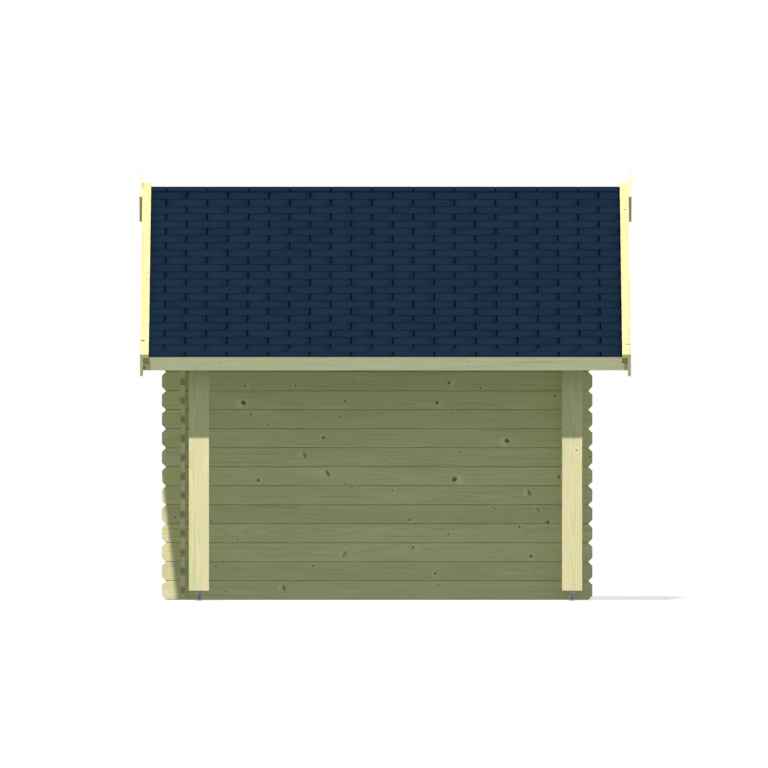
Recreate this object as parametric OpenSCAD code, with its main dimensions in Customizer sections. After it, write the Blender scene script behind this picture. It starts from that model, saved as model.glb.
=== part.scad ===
// Garden house of interlocking logs. One slope of its boarded roof runs on over two posts as a canopy.
// Sizes in millimetres. X runs along the ridge, the canopy lies toward -Y and the ground is z = 0.

/* [Logs] */
// Thickness of a wall log
log_t = 28; // [22:1:44]
// Height of one log course
log_h = 114; // [95:1:140]
// Reach of a log past the middle of the wall that it crosses
log_reach = 126; // [90:1:160]
// Chamfer on the corners of a log end
end_chamfer = 24; // [8:1:30]
// Chamfer along the edges of a log, half of the groove between two courses
edge_chamfer = 3.5; // [1:0.5:5]
// Width of the tongue on top of a log
tongue_w = 9; // [6:1:11]
// Height of the tongue on top of a log
tongue_h = 8; // [4:1:12]
// Gap between two seated logs
seat_gap = 0.3; // [0.2:0.1:0.8]

/* [Walls] */
// Distance between the middles of the two gable walls
house_length = 2330; // [2000:10:3000]
// Distance between the middles of the two side walls
house_depth = 2330; // [2000:10:3000]
// Log courses in a side wall
courses = 17; // [15:1:19]

/* [Roof] */
// Roof pitch in degrees
pitch = 24; // [19:1:29]
// Reach of the roof past the middle of the front gable wall
front_reach = 350; // [250:10:600]
// Reach of the roof past the middle of the back gable wall
back_reach = 250; // [200:10:600]
// Level reach of the canopy past the outer face of its wall
canopy_reach = 1070; // [700:10:1400]
// Level reach of the far eave past the outer face of its wall
far_reach = 250; // [150:10:500]
// Thickness of the roof boards
board_t = 18; // [15:1:28]
// Thickness of the shingle layer
shingle_t = 4.5; // [3:0.5:8]
// Overhang of the shingles past the fascia
drip = 0; // [0:1:20]
// Width of the ridge shingles on each slope
cap_w = 78; // [60:1:140]
// Thickness of the ridge shingles
cap_t = 9; // [4:0.5:14]

/* [Roof edges] */
// Thickness of the bargeboards and fascias
edge_t = 18; // [15:1:25]
// Width of a bargeboard
barge_w = 120; // [100:1:150]
// Rise of a bargeboard above the roof boards
barge_rise = 13; // [10:1:25]
// Length of a bargeboard past the fascia
barge_tail = 49; // [20:1:90]
// Width of a cover strip over a bargeboard
cover_w = 52; // [40:1:80]
// Thickness of a cover strip
cover_t = 22; // [15:1:30]
// Width of a fascia
fascia_w = 90; // [70:1:130]
// Width of a verge batten
batten_w = 35; // [25:1:60]
// Depth of a verge batten
batten_h = 30; // [20:1:45]
// Diagonal of the square gable plaque
plaque = 301; // [250:1:360]
// Thickness of the gable plaque
plaque_t = 18; // [12:1:25]
// Drop of the middle of the plaque below the top of the cover strips
plaque_drop = 85; // [60:1:120]

/* [Roof timbers] */
// Width of the purlins
purlin_w = 45; // [35:1:70]
// Height of the ridge purlin
ridge_purlin_h = 140; // [100:1:180]
// Height of a middle purlin
purlin_h = 120; // [90:1:150]
// Width of the canopy beam
beam_w = 60; // [40:1:110]
// Height of the front face of the canopy beam
beam_h = 133; // [100:1:180]

/* [Posts] */
// Side of a square post
post_w = 120; // [100:1:140]
// Level distance from the end of the canopy boards to the posts
post_setback = 266; // [110:1:330]
// Distance from the end of the roof to the middle of a post
post_inset = 350; // [250:10:600]
// Height of the post bottoms above the ground
foot_h = 60; // [45:1:100]
// Diameter of the rod in a post foot
rod_d = 20; // [16:1:24]
// Length of the rod inside the post
rod_in = 140; // [80:1:200]
// Width across the flats of the foot nut
nut_w = 30; // [27:1:36]
// Diameter of the foot disc
disc_d = 34; // [30:1:60]

/* [Door] */
// Clear width of the doorway
door_w = 1400; // [1100:10:1600]
// Thickness of the door frame
frame_t = 36; // [30:1:50]
// Depth of the door frame
frame_d = 70; // [60:1:90]
// Width of the stop that the leaves close on
stop_w = 12; // [8:1:16]
// Thickness of a door leaf
leaf_t = 40; // [34:1:44]
// Gap around a door leaf
leaf_gap = 4; // [2:0.5:6]
// Width of the stiles and rails of a leaf
rail_w = 95; // [80:1:120]
// Depth of the boarded fields of a leaf
field_d = 10; // [6:1:14]
// Pitch of the boards in a field
field_board = 84; // [60:1:120]
// Length of a hinge strap
strap = 240; // [150:1:300]

/* [Hidden] */
$fn = 48;
slack = 0.5;
wood = "#b3b58a";
wood_cut = "#c9c596";
bitumen = "#1c2a36";
steel = "#8d918f";

// Walls
wall_h = courses * log_h;
quarter = log_h / 4;
notch_w = log_t + 2 * seat_gap;
half_in = (house_depth - log_t) / 2;
half_out = (house_depth + log_t) / 2;
side_log = house_length + 2 * log_reach;
gable_log = house_depth + 2 * log_reach;
gable_base = log_h / 2;
gable_courses = courses - 1;
panel_z = gable_base + gable_courses * log_h;

// Roof, measured down the slope (u) and square to it (v) from the underside of the boards at the ridge
roof_length = house_length + front_reach + back_reach;
roof_in = roof_length / 2 - edge_t;
back_x = back_reach - roof_length / 2;
front_x = roof_length / 2 - front_reach;
middle_x = (back_x + front_x) / 2;
ridge_z = wall_h + half_in * tan(pitch);
canopy_u = (half_out + canopy_reach) / cos(pitch);
far_u = (half_out + far_reach) / cos(pitch);
canopy_tail = canopy_u + edge_t + barge_tail;
far_tail = far_u + edge_t + barge_tail;
cover_v = board_t + barge_rise;
cover_top = cover_v + cover_t;
margin = roof_length / 2 - cover_w;
timber_end = roof_in - batten_w;
canopy_edge = canopy_tail * cos(pitch) + cover_top * sin(pitch);
far_edge = far_tail * cos(pitch) + cover_top * sin(pitch);
ridge_y = (canopy_edge - far_edge) / 2;
panel_end = half_in + (log_h / 2 - 12) / tan(pitch);
purlin_y = half_in / 2;
purlin_z = ridge_z - (purlin_y + purlin_w / 2) * tan(pitch) - purlin_h;
ridge_purlin_z = ridge_z - ridge_purlin_h;

// Posts
post_front = half_out + canopy_reach - post_setback;
post_y = ridge_y - post_front + post_w / 2;
beam_face = post_front - post_w / 2 + beam_w / 2;
post_top = ridge_z - beam_face * tan(pitch) - beam_h;
post_x = roof_length / 2 - post_inset;
nut_h = 14;
washer_d = 1.45 * nut_w;
washer_t = 3;
disc_t = 8;

// Door
door_half = door_w / 2;
bite = 14;
log_cut = door_half + frame_t - bite + 1;
door_face = front_x + frame_d / 2;
leaf_back = door_face - leaf_t - 1;
sill_z = gable_base + 28;
head_z = panel_z - seat_gap - frame_t;
leaf_z = sill_z + leaf_gap;
leaf_h = head_z - leaf_gap - leaf_z;
leaf_w = (door_w - 3 * leaf_gap) / 2;
field_w = leaf_w - 2 * rail_w;
rail_z = [0, 0.46 * leaf_h, leaf_h - rail_w];
plate_t = 3;

CANOPY = -1;
FAR = 1;

// Point in the Y-Z plane at u down one slope and v above the underside of the boards.
function roof_at(side, u, v) = [
    ridge_y + side * (u * cos(pitch) + v * sin(pitch)),
    ridge_z - u * sin(pitch) + v * cos(pitch)
];

// Point on the upright joint of the two slopes, at v.
function ridge_at(v) = [ridge_y, ridge_z + v / cos(pitch)];

// Outline in the Y-Z plane drawn out along X.
module along_x(x0, x1) {
    translate([x0, 0, 0])
        rotate([90, 0, 90])
            linear_extrude(x1 - x0)
                children();
}

// Board from the ridge joint down one slope.
module slope_board(side, x0, x1, u_end, v0, v1) {
    along_x(x0, x1)
        polygon([ridge_at(v0), roof_at(side, u_end, v0), roof_at(side, u_end, v1), ridge_at(v1)]);
}

// Square-cut piece on one slope.
module slope_piece(side, x0, x1, u0, u1, v0, v1) {
    along_x(x0, x1)
        polygon([roof_at(side, u0, v0), roof_at(side, u1, v0), roof_at(side, u1, v1), roof_at(side, u0, v1)]);
}

// Everything below the underside of the roof boards.
module under_roof() {
    reach = half_out + log_reach + 300;
    low = ridge_z - reach * tan(pitch);
    along_x(-roof_length / 2, roof_length / 2)
        polygon([
            [ridge_y, ridge_z],
            [ridge_y + reach, low],
            [ridge_y + reach, -10],
            [ridge_y - reach, -10],
            [ridge_y - reach, low]
        ]);
}

// Log along X with its middle at x = 0 and its lower face at z = 0.
module plain_log(length, height, foot_chamfer, tongue, groove) {
    h = height - seat_gap;
    t = log_t / 2;
    e = edge_chamfer;
    end = length / 2;
    foot = foot_chamfer;
    top = end_chamfer;
    difference() {
        union() {
            intersection() {
                along_x(-end, end)
                    polygon([
                        [-t, e], [-t + e, 0], [t - e, 0], [t, e],
                        [t, h - e], [t - e, h], [-t + e, h], [-t, h - e]
                    ]);
                rotate([90, 0, 0])
                    linear_extrude(2 * log_t, center = true)
                        polygon([
                            [-end, foot], [-end + foot, 0], [end - foot, 0], [end, foot],
                            [end, h - top], [end - top, h], [-end + top, h], [-end, h - top]
                        ]);
            }
            if (tongue)
                translate([-end + top, -tongue_w / 2, h - 1])
                    cube([length - 2 * top, tongue_w, tongue_h + 1]);
        }
        if (groove)
            translate([-end - 1, -tongue_w / 2 - slack, -1])
                cube([length + 2, tongue_w + 2 * slack, tongue_h + 2]);
    }
}

// Log that interlocks with two crossing walls: a quarter of its height is notched away above and below.
module corner_log(length, span, tongue = true, groove = true) {
    difference() {
        plain_log(length, log_h, end_chamfer, tongue, groove);
        for (x = [-span / 2, span / 2]) {
            translate([x - notch_w / 2, -log_t, -1])
                cube([notch_w, 2 * log_t, quarter + 1]);
            translate([x - notch_w / 2, -log_t, 3 * quarter - seat_gap])
                cube([notch_w, 2 * log_t, log_h]);
        }
    }
}

// Half-height log under a gable wall, which sets its courses half a log above those of the side walls.
module half_log() {
    difference() {
        plain_log(gable_log, gable_base, 0, true, false);
        for (x = [-house_depth / 2, house_depth / 2])
            translate([x - notch_w / 2, -log_t, quarter - seat_gap])
                cube([notch_w, 2 * log_t, log_h]);
    }
}

// Places a log along X in a gable wall.
module in_gable(x, z) {
    translate([x, ridge_y, z])
        rotate([0, 0, 90])
            children();
}

module side_wall(side) {
    intersection() {
        for (k = [0 : courses - 1])
            translate([middle_x, ridge_y + side * house_depth / 2, k * log_h])
                corner_log(side_log, house_length, k < courses - 1, k > 0);
        under_roof();
    }
}

module gable_logs(x) {
    for (k = [0 : gable_courses - 1])
        in_gable(x, gable_base + k * log_h)
            corner_log(gable_log, house_depth);
}

// Triangle of joined logs over a gable wall, seated on the top log and cut out for the purlins.
module gable_panel(x) {
    n = ceil((ridge_z - panel_z) / log_h);
    t = log_t / 2;
    e = edge_chamfer;
    right = [for (k = [0 : n - 1], p = [[t - e, 0], [t, e], [t, log_h - e], [t - e, log_h]])
        [p[0], k * log_h + p[1]]];
    left = [for (k = [len(right) - 1 : -1 : 0]) [-right[k][0], right[k][1]]];
    difference() {
        intersection() {
            translate([x, ridge_y, panel_z])
                rotate([90, 0, 0])
                    linear_extrude(2 * panel_end, center = true)
                        polygon(concat(right, left));
            under_roof();
        }
        in_gable(x, panel_z) {
            translate([-gable_log / 2, -tongue_w / 2 - slack, -1])
                cube([gable_log, tongue_w + 2 * slack, tongue_h + 2]);
            for (y = [-house_depth / 2, house_depth / 2])
                translate([y - notch_w / 2, -log_t, -1])
                    cube([notch_w, 2 * log_t, quarter + 1]);
        }
        purlin_seat(x, 0, ridge_purlin_z);
        purlin_seat(x, -purlin_y, purlin_z);
        purlin_seat(x, purlin_y, purlin_z);
    }
}

module purlin_seat(x, y, z) {
    translate([x - log_t, ridge_y + y - purlin_w / 2 - slack, z - slack])
        cube([2 * log_t, purlin_w + 2 * slack, wall_h]);
}

// Space of the doorway, as far as the logs are cut back for the frame.
module doorway() {
    translate([front_x - frame_d, ridge_y - log_cut, gable_base - seat_gap])
        cube([2 * frame_d, 2 * log_cut, panel_z - gable_base]);
}

// Half of the house on one side of the ridge.
module half_space(side) {
    translate([-roof_length, side < 0 ? ridge_y - house_depth : ridge_y, -10])
        cube([2 * roof_length, house_depth, 2 * wall_h]);
}

module canopy_side_wall() {
    color(wood) side_wall(CANOPY);
}

module far_side_wall() {
    color(wood) side_wall(FAR);
}

module back_gable_wall() {
    color(wood) {
        in_gable(back_x, 0) half_log();
        gable_logs(back_x);
    }
}

module back_gable_panel() {
    color(wood) gable_panel(back_x);
}

module front_sill_log() {
    color(wood)
        difference() {
            in_gable(front_x, 0) half_log();
            doorway();
        }
}

module front_wall(side) {
    color(wood)
        intersection() {
            difference() {
                gable_logs(front_x);
                doorway();
            }
            half_space(side);
        }
}

module front_wall_canopy_side() {
    front_wall(CANOPY);
}

module front_wall_far_side() {
    front_wall(FAR);
}

module front_gable_panel() {
    color(wood) gable_panel(front_x);
}

// Upright of the door frame, grooved for the ends of the cut logs.
module door_jamb(side) {
    groove = log_t / 2 + slack;
    back = front_x - frame_d / 2;
    inner = door_half;
    outer = door_half + frame_t;
    color(wood_cut)
        translate([0, ridge_y, gable_base])
            linear_extrude(panel_z - gable_base - seat_gap)
                scale([1, side, 1])
                    polygon([
                        [back, inner - stop_w], [leaf_back, inner - stop_w],
                        [leaf_back, inner], [door_face, inner],
                        [door_face, outer], [front_x + groove, outer],
                        [front_x + groove, outer - bite], [front_x - groove, outer - bite],
                        [front_x - groove, outer], [back, outer]
                    ]);
}

module door_jamb_canopy_side() {
    door_jamb(CANOPY);
}

module door_jamb_far_side() {
    door_jamb(FAR);
}

// Cross piece of the door frame between two levels, with its stop to stop_z0 and stop_z1.
module door_cross_piece(z0, z1, stop_z0, stop_z1) {
    color(wood_cut) {
        translate([leaf_back, ridge_y - door_half, z0])
            cube([door_face - leaf_back, door_w, z1 - z0]);
        translate([front_x - frame_d / 2, ridge_y - door_half + stop_w, stop_z0])
            cube([leaf_back - front_x + frame_d / 2 + 1, door_w - 2 * stop_w, stop_z1 - stop_z0]);
    }
}

module door_head() {
    door_cross_piece(head_z, panel_z - seat_gap, head_z - stop_w, panel_z - seat_gap);
}

module door_sill() {
    door_cross_piece(gable_base, sill_z, gable_base, sill_z + stop_w);
}

// Framed leaf with two fields of upright boards.
module door_leaf(side) {
    y0 = side < 0 ? leaf_gap - door_half : leaf_gap / 2;
    n = round(field_w / field_board);
    color(wood_cut)
        translate([door_face - leaf_t, ridge_y + y0, leaf_z])
            difference() {
                cube([leaf_t, leaf_w, leaf_h]);
                for (k = [0, 1]) {
                    base = rail_z[k] + rail_w;
                    translate([leaf_t - field_d, rail_w, base])
                        cube([field_d + 1, field_w, rail_z[k + 1] - base]);
                    for (j = [1 : n - 1])
                        translate([leaf_t - field_d, rail_w + j * field_w / n, base])
                            linear_extrude(rail_z[k + 1] - base)
                                polygon([[1, -4], [-3, 0], [1, 4]]);
                }
            }
}

module door_leaf_canopy_side() {
    door_leaf(CANOPY);
}

module door_leaf_far_side() {
    door_leaf(FAR);
}

module door_meeting_strip() {
    color(wood_cut)
        translate([door_face, ridge_y - 22, leaf_z])
            cube([14, 44, leaf_h]);
}

// Strap hinge on a rail of one leaf, with its plate on the frame.
module hinge(side, z) {
    pin = door_half - leaf_gap / 2;
    knuckle = 6;
    translate([door_face, ridge_y, z])
        scale([1, side, 1]) {
            translate([0, pin - strap, -17])
                cube([plate_t, strap, 34]);
            translate([0, pin, -40])
                cube([plate_t, 26, 80]);
            translate([knuckle, pin, -25])
                cylinder(r = knuckle, h = 50);
        }
}

module door_hinges() {
    color(steel)
        for (side = [CANOPY, FAR], k = [0 : 2])
            hinge(side, leaf_z + rail_z[k] + rail_w / 2);
}

module door_handle() {
    z = leaf_z + rail_z[1] + rail_w / 2;
    y = rail_w / 2 + 12;
    color(steel)
        translate([door_face, ridge_y + y, z]) {
            translate([0, -18, -95])
                cube([plate_t, 36, 150]);
            rotate([0, 90, 0])
                cylinder(d = 16, h = 48);
            translate([40, -8, -8])
                cube([14, 120, 16]);
        }
}

module ridge_purlin() {
    half = purlin_w / 2;
    shoulder = ridge_z - half * tan(pitch);
    color(wood_cut)
        along_x(-timber_end, timber_end)
            polygon([
                [ridge_y - half, ridge_purlin_z], [ridge_y + half, ridge_purlin_z],
                [ridge_y + half, shoulder], [ridge_y, ridge_z], [ridge_y - half, shoulder]
            ]);
}

// Upright timber under one slope, bevelled to the roof boards.
module slope_timber(side, y0, y1, base) {
    color(wood_cut)
        along_x(-timber_end, timber_end)
            polygon([
                [ridge_y + side * y0, base], [ridge_y + side * y1, base],
                [ridge_y + side * y1, ridge_z - y1 * tan(pitch)],
                [ridge_y + side * y0, ridge_z - y0 * tan(pitch)]
            ]);
}

module canopy_side_purlin() {
    slope_timber(CANOPY, purlin_y - purlin_w / 2, purlin_y + purlin_w / 2, purlin_z);
}

module far_side_purlin() {
    slope_timber(FAR, purlin_y - purlin_w / 2, purlin_y + purlin_w / 2, purlin_z);
}

module canopy_beam() {
    slope_timber(CANOPY, beam_face - beam_w, beam_face, post_top);
}

module post(x) {
    color(wood_cut)
        translate([x, post_y, foot_h])
            difference() {
                translate([-post_w / 2, -post_w / 2, 0])
                    cube([post_w, post_w, post_top - foot_h]);
                translate([0, 0, -1])
                    cylinder(d = rod_d + 2 * slack, h = rod_in + 6);
            }
}

module back_post() {
    post(-post_x);
}

module front_post() {
    post(post_x);
}

// Threaded rod with a disc on the ground, and a nut and washer under the post.
module post_foot(x) {
    color(steel)
        translate([x, post_y, 0]) {
            cylinder(d = disc_d, h = disc_t);
            cylinder(d = rod_d, h = foot_h + rod_in);
            translate([0, 0, foot_h - washer_t - nut_h])
                cylinder(d = nut_w / cos(30), h = nut_h + 1, $fn = 6);
            translate([0, 0, foot_h - washer_t])
                cylinder(d = washer_d, h = washer_t);
        }
}

module back_post_foot() {
    post_foot(-post_x);
}

module front_post_foot() {
    post_foot(post_x);
}

module canopy_roof_boards() {
    color(wood_cut) slope_board(CANOPY, -roof_in, roof_in, canopy_u, 0, board_t);
}

module far_roof_boards() {
    color(wood_cut) slope_board(FAR, -roof_in, roof_in, far_u, 0, board_t);
}

// Shingle layer of one slope, raised at both margins to the cover strips.
module shingles(side, u_end) {
    top = board_t + shingle_t;
    color(bitumen) {
        slope_board(side, -roof_in, roof_in, u_end + edge_t + drip, board_t, top);
        slope_board(side, -roof_in, -margin, u_end + edge_t + drip, board_t, cover_v);
        slope_board(side, margin, roof_in, u_end + edge_t + drip, board_t, cover_v);
    }
}

module canopy_shingles() {
    shingles(CANOPY, canopy_u);
}

module far_shingles() {
    shingles(FAR, far_u);
}

module ridge_shingles() {
    v0 = board_t + shingle_t;
    v1 = v0 + cap_t;
    color(bitumen)
        along_x(-margin, margin)
            polygon([
                ridge_at(v0), roof_at(CANOPY, cap_w, v0), roof_at(CANOPY, cap_w, v1),
                ridge_at(v1), roof_at(FAR, cap_w, v1), roof_at(FAR, cap_w, v0)
            ]);
}

module bargeboard(side, front, u_end) {
    x = front ? roof_in : -roof_in - edge_t;
    color(wood) slope_board(side, x, x + edge_t, u_end, cover_v - barge_w, cover_v);
}

module canopy_back_bargeboard() {
    bargeboard(CANOPY, false, canopy_tail);
}

module canopy_front_bargeboard() {
    bargeboard(CANOPY, true, canopy_tail);
}

module far_back_bargeboard() {
    bargeboard(FAR, false, far_tail);
}

module far_front_bargeboard() {
    bargeboard(FAR, true, far_tail);
}

module cover_strip(side, front, u_end) {
    x = front ? margin : -margin - cover_w;
    color(wood_cut) slope_board(side, x, x + cover_w, u_end, cover_v, cover_top);
}

module canopy_back_cover_strip() {
    cover_strip(CANOPY, false, canopy_tail);
}

module canopy_front_cover_strip() {
    cover_strip(CANOPY, true, canopy_tail);
}

module far_back_cover_strip() {
    cover_strip(FAR, false, far_tail);
}

module far_front_cover_strip() {
    cover_strip(FAR, true, far_tail);
}

// Board across the lower ends of the roof boards, cut out at its top corners for the verge battens.
module fascia(side, u_end) {
    color(wood)
        difference() {
            slope_piece(side, -roof_in, roof_in, u_end, u_end + edge_t, board_t - fascia_w, board_t);
            for (x = [-roof_in - 1, timber_end])
                slope_piece(side, x, x + batten_w + 1, u_end - 1, u_end + edge_t + 1, -batten_h, board_t + 1);
        }
}

module canopy_fascia() {
    fascia(CANOPY, canopy_u);
}

module far_fascia() {
    fascia(FAR, far_u);
}

module verge_battens(side, u_end) {
    color(wood_cut)
        for (x = [-roof_in, timber_end])
            slope_board(side, x, x + batten_w, u_end, -batten_h, 0);
}

module canopy_verge_battens() {
    verge_battens(CANOPY, canopy_u);
}

module far_verge_battens() {
    verge_battens(FAR, far_u);
}

module gable_plaque(x) {
    color(wood_cut)
        translate([x, ridge_y, ridge_z + cover_top / cos(pitch) - plaque_drop])
            rotate([45, 0, 0])
                translate([0, -plaque / sqrt(8), -plaque / sqrt(8)])
                    cube([plaque_t, plaque / sqrt(2), plaque / sqrt(2)]);
}

module back_gable_plaque() {
    gable_plaque(-roof_length / 2 - plaque_t);
}

module front_gable_plaque() {
    gable_plaque(roof_length / 2);
}

canopy_side_wall();
far_side_wall();
back_gable_wall();
back_gable_panel();
front_sill_log();
front_wall_canopy_side();
front_wall_far_side();
front_gable_panel();
door_jamb_canopy_side();
door_jamb_far_side();
door_head();
door_sill();
door_leaf_canopy_side();
door_leaf_far_side();
door_meeting_strip();
door_hinges();
door_handle();
ridge_purlin();
canopy_side_purlin();
far_side_purlin();
canopy_beam();
back_post();
front_post();
back_post_foot();
front_post_foot();
canopy_roof_boards();
far_roof_boards();
canopy_shingles();
far_shingles();
ridge_shingles();
canopy_back_bargeboard();
canopy_front_bargeboard();
far_back_bargeboard();
far_front_bargeboard();
canopy_back_cover_strip();
canopy_front_cover_strip();
far_back_cover_strip();
far_front_cover_strip();
canopy_fascia();
far_fascia();
canopy_verge_battens();
far_verge_battens();
back_gable_plaque();
front_gable_plaque();
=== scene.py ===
"""Studio scene of a log garden house with a side canopy: its finishes, roof covering and small hardware."""

import logging
import math
from dataclasses import dataclass
from enum import Enum
from typing import Sequence, Union

import bpy
import numpy as np
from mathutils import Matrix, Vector

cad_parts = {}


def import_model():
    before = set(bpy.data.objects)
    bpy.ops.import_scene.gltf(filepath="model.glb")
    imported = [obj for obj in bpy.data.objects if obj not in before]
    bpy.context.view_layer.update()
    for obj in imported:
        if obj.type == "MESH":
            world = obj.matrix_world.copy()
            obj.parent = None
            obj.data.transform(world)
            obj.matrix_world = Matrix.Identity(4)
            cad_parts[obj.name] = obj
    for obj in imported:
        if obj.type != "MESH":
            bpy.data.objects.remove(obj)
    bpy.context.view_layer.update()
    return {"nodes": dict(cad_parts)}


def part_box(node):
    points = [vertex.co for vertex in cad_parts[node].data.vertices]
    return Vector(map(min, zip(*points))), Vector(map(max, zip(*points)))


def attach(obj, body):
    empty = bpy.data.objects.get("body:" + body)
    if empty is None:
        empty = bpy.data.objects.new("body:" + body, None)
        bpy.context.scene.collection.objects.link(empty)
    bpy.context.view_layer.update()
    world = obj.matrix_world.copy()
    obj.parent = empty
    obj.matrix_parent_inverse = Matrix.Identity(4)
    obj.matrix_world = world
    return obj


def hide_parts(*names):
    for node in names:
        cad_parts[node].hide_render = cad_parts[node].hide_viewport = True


LOG = logging.getLogger("garden_house")
ROOT = "root"
PLAIN_TONE = 0.5
COLOUR_MIX_INPUTS = (0, 6, 7)
COLOUR_MIX_OUTPUT = 2
DOME_RINGS = (0.0, 0.45, 0.9, 1.3)
Array = np.ndarray
Colour = tuple[float, float, float]
Span = tuple[float, float]
Input = Union["Value", float, Colour]


class Side(Enum):
    """The two slopes of the roof, valued by the sign of their way down along Y."""

    CANOPY = -1
    FAR = 1

    @property
    def tag(self) -> str:
        """First word in the names of the slope's pieces."""
        return self.name.lower()


class Slot(Enum):
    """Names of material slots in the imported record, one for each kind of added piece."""

    BOARD = "treated_board"
    SHINGLE = "bitumen_shingle"
    STEEL = "galvanised_steel"


class Grain(Enum):
    """Which of the tilted axes run along the fibres, through the thickness and across the width."""

    RIDGE = (0, 1, 2)
    DEPTH = (1, 0, 2)
    UPRIGHT = (2, 1, 0)
    UPRIGHT_LEAF = (2, 0, 1)
    SLOPE_FLAT = (1, 2, 0)


class Tilt(Enum):
    """How a piece is turned about X: not at all, down its slope of the roof, or on its corner."""

    NONE = 0
    SLOPE = 1
    CORNER = 2


@dataclass
class Shell:
    """Closed surface of one or more parts, with a tone for each of its points."""

    points: Array
    faces: list[Array]
    tone: Array

    @classmethod
    def joined(cls, shells: Sequence["Shell"]) -> "Shell":
        """Puts several shells into one.

        Args:
            shells: the shells, in any order.

        Returns:
            One shell whose face numbers are moved past the points before them.
        """
        starts = np.cumsum([0] + [len(s.points) for s in shells[:-1]])
        return cls(
            np.concatenate([s.points for s in shells]),
            [f + start for s, start in zip(shells, starts) for f in s.faces],
            np.concatenate([s.tone for s in shells]),
        )

    def to_object(self, name: str, smooth: float = 0.0) -> bpy.types.Object:
        """Writes the surface to a new mesh object at the origin.

        Args:
            name: name of the object and of its mesh.
            smooth: edges flatter than this angle, in degrees, are shaded smooth.

        Returns:
            The linked object.
        """
        mesh = bpy.data.meshes.new(name)
        corners = np.concatenate([f.ravel() for f in self.faces])
        sizes = np.concatenate([np.full(len(f), f.shape[1]) for f in self.faces])
        mesh.vertices.add(len(self.points))
        mesh.vertices.foreach_set("co", self.points.astype(np.float32).ravel())
        mesh.loops.add(len(corners))
        mesh.loops.foreach_set("vertex_index", corners.astype(np.int32))
        mesh.polygons.add(len(sizes))
        mesh.polygons.foreach_set("loop_start", (np.cumsum(sizes) - sizes).astype(np.int32))
        mesh.polygons.foreach_set("loop_total", sizes.astype(np.int32))
        tone = mesh.attributes.new("tone", "FLOAT", "POINT")
        tone.data.foreach_set("value", self.tone.astype(np.float32))
        mesh.update(calc_edges=True)
        mesh.validate()
        if smooth:
            mesh.shade_smooth()
            mesh.set_sharp_from_angle(angle=math.radians(smooth))
        piece = bpy.data.objects.new(name, mesh)
        bpy.context.scene.collection.objects.link(piece)
        return piece


def grid_faces(rows: int, columns: int, wrap: bool = False) -> Array:
    """Quads of a grid of points numbered row by row.

    Args:
        rows: number of rows of points.
        columns: number of points in a row.
        wrap: joins the last column to the first.

    Returns:
        Point numbers, four to a row.
    """
    r, c = np.meshgrid(np.arange(rows - 1), np.arange(columns if wrap else columns - 1), indexing="ij")
    n = (c + 1) % columns
    here, below = r * columns, (r + 1) * columns
    return np.stack([here + c, here + n, below + n, below + c], -1).reshape(-1, 4)


def repeated(faces: Array, count: int, step: int) -> Array:
    """Face numbers of count copies, each step points after the one before."""
    return (faces[None] + step * np.arange(count)[:, None, None]).reshape(-1, faces.shape[1])


def slabs(top: Array, under: Array, tone: Array) -> Shell:
    """Closed slabs between an upper and a lower grid of points, joined round their rims.

    Args:
        top: points of shape (slabs, rows, columns, 3), with rows x columns turning upwards.
        under: lower points of the same shape.
        tone: one tone for each slab.

    Returns:
        All the slabs as one shell.
    """
    count, rows, columns, _ = top.shape
    half = rows * columns
    face = grid_faces(rows, columns)
    n = np.arange(half).reshape(rows, columns)
    rim = np.concatenate([n[0, :-1], n[:-1, -1], n[-1, :0:-1], n[:0:-1, 0]])
    after = np.roll(rim, -1)
    skirt = np.stack([after, rim, rim + half, after + half], -1)
    one = np.concatenate([face, face[:, ::-1] + half, skirt])
    points = np.stack([top.reshape(count, half, 3), under.reshape(count, half, 3)], 1).reshape(-1, 3)
    return Shell(points, [repeated(one, count, 2 * half)], np.repeat(tone, 2 * half))


def prisms(start: Array, end: Array, tone: Array) -> Shell:
    """Straight pieces between two outlines of the same number of points.

    Args:
        start: first outlines, of shape (pieces, points, 3), turning right seen along the piece.
        end: last outlines, of the same shape.
        tone: one tone for each piece.

    Returns:
        All the pieces, each closed by its two outlines.
    """
    count, size, _ = start.shape
    k = np.arange(size)
    n = (k + 1) % size
    side = np.stack([k, n, n + size, k + size], -1)
    caps = np.stack([k[::-1], k + size])
    return Shell(
        np.stack([start, end], 1).reshape(-1, 3),
        [repeated(side, count, 2 * size), repeated(caps, count, 2 * size)],
        np.repeat(tone, 2 * size),
    )


def domes(centres: Array, axis: Sequence[float], radius: float, height: float, segments: int = 12) -> Shell:
    """Low round heads: rings that shrink with the cosine of the way up and rise with its sine.

    Args:
        centres: middle of each head on the surface, of shape (heads, 3).
        axis: direction in which the heads stand out.
        radius: radius at the surface.
        height: height of the crown.
        segments: points round a ring.

    Returns:
        All the heads as one shell, each with a small flat crown.
    """
    out = np.array(Vector(axis).normalized())
    across = np.array(Vector(axis).orthogonal().normalized())
    other = np.cross(out, across)
    turn = np.linspace(0, 2 * np.pi, segments, endpoint=False)
    rise = np.array(DOME_RINGS)
    ring = radius * (np.cos(turn)[:, None] * across + np.sin(turn)[:, None] * other)
    one = np.cos(rise)[:, None, None] * ring + (height * np.sin(rise))[:, None, None] * out
    points = (centres[:, None, None] + one[None]).reshape(-1, 3)
    step = len(rise) * segments
    faces = [
        grid_faces(len(rise), segments, wrap=True),
        np.arange(step - segments, step)[None],
        np.arange(segments)[None, ::-1],
    ]
    return Shell(points, [repeated(f, len(centres), step) for f in faces], np.full(len(points), PLAIN_TONE))


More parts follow.
